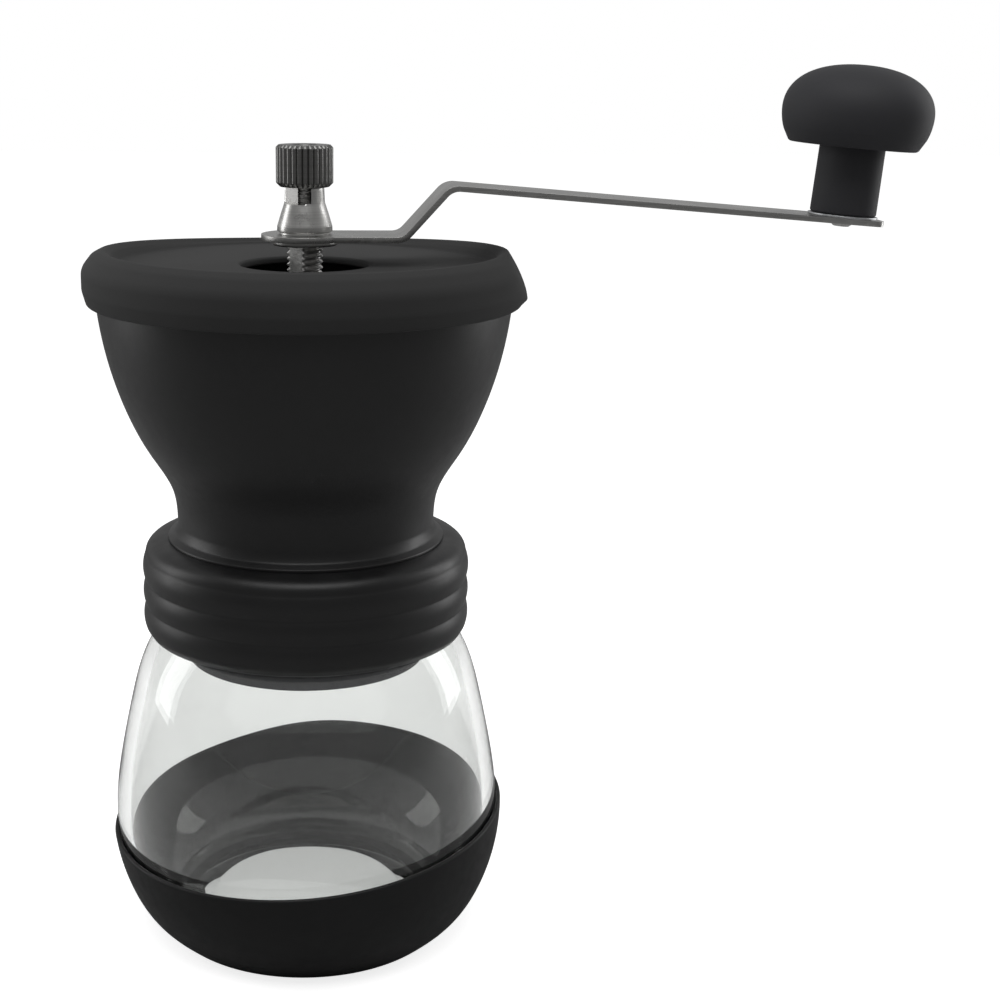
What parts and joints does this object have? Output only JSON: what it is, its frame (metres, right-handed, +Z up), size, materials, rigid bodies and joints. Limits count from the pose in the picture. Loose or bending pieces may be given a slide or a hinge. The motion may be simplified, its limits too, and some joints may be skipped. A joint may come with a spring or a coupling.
{
  "type": "hand crank coffee grinder",
  "caption": "Hand crank coffee grinder: a clear jar in a soft boot, a screw-on head with a flared bean hopper, a conical burr set and a bent crank with a round knob.",
  "frame": {"origin": "on the drive shaft's axis, at the level of the surface that the boot stands on", "axes": "+Z up along the drive shaft, +X along the crank arm towards the knob"},
  "size_m": [0.1877, 0.0976, 0.2001],
  "materials": {
    "glass": "clear, polished",
    "silicone": "matte moulded silicone",
    "seal": "matte moulded rubber",
    "black_plastic": "fine moulded texture, satin",
    "inner_plastic": "moulded, satin",
    "bush": "natural acetal",
    "ceramic": "fired white, unglazed",
    "lid_rubber": "soft matte rubber",
    "bright_steel": "brushed stainless steel",
    "turned_steel": "turned and polished",
    "nut_steel": "straight knurled, darker plating",
    "zinc_steel": "zinc plated",
    "spring_steel": "drawn spring wire",
    "knob_plastic": "satin moulded plastic"
  },
  "bodies": {
    "jar": {"glass_jar": "glass", "silicone_boot": "silicone"},
    "seal": {"jar_seal": "seal"},
    "head": {"screw_collar": "black_plastic", "hopper": "black_plastic", "bearing_bridge": "inner_plastic", "lower_bush": "bush", "upper_bush": "bush", "burr_holder": "inner_plastic", "holder_screws": "zinc_steel", "outer_burr": "ceramic"},
    "lid": {"hopper_lid": "lid_rubber"},
    "spindle": {"thrust_washer": "zinc_steel", "lock_washer": "zinc_steel"},
    "adjuster": {"adjusting_nut": "inner_plastic"},
    "shaft": {"drive_shaft": "bright_steel", "inner_burr": "ceramic", "spring_seat": "zinc_steel", "burr_spring": "spring_steel", "burr_washer": "zinc_steel", "burr_nut": "zinc_steel"},
    "crank": {"crank_arm": "bright_steel", "hub_washer": "zinc_steel", "crank_ferrule": "turned_steel", "knob_pin": "zinc_steel", "knob_washer": "zinc_steel"},
    "nut": {"thumb_nut": "nut_steel"},
    "knob": {"knob_stem": "knob_plastic", "knob_cap": "knob_plastic"}
  },
  "joints": [
    {"name": "head_lift", "type": "slide", "parent": "jar", "child": "seal", "axis": [0, 0, 1], "range_m": [0, 0.006]},
    {"name": "head_turn", "type": "hinge", "parent": "seal", "child": "head", "pos_m": [0, 0, 0.09], "axis": [0, 0, 1], "range_deg": [0, 432]},
    {"name": "lid_lift", "type": "slide", "parent": "head", "child": "lid", "axis": [0, 0, 1], "range_m": [0, 0.0092]},
    {"name": "crank_turn", "type": "hinge", "parent": "head", "child": "spindle", "pos_m": [0, 0, 0.12], "axis": [0, 0, 1], "continuous": true},
    {"name": "grind_setting", "type": "slide", "parent": "spindle", "child": "shaft", "axis": [0, 0, -1], "range_m": [0, 0.0015], "deforming": ["burr_spring"]},
    {"name": "adjuster_turn", "type": "hinge", "parent": "spindle", "child": "adjuster", "pos_m": [0, 0, 0.122], "axis": [0, 0, 1], "range_deg": [0, 432]},
    {"name": "crank_lift", "type": "slide", "parent": "shaft", "child": "crank", "axis": [0, 0, 1], "range_m": [0, 0.0092]},
    {"name": "nut_turn", "type": "hinge", "parent": "crank", "child": "nut", "pos_m": [0, 0, 0.177], "axis": [0, 0, 1], "range_deg": [0, 4140]},
    {"name": "knob_spin", "type": "hinge", "parent": "crank", "child": "knob", "pos_m": [0.12055, 0, 0.16697], "axis": [0.0802, 0, 0.9968], "continuous": true}
  ],
  "couplings": [
    {"joint": "head_turn", "follows": "head_lift", "rad_per_m": 1256.6},
    {"joint": "nut_turn", "follows": "crank_lift", "rad_per_m": 7854},
    {"joint": "lid_lift", "follows": "crank_lift", "ratio": 1},
    {"joint": "adjuster_turn", "follows": "grind_setting", "rad_per_m": 5026.5}
  ]
}
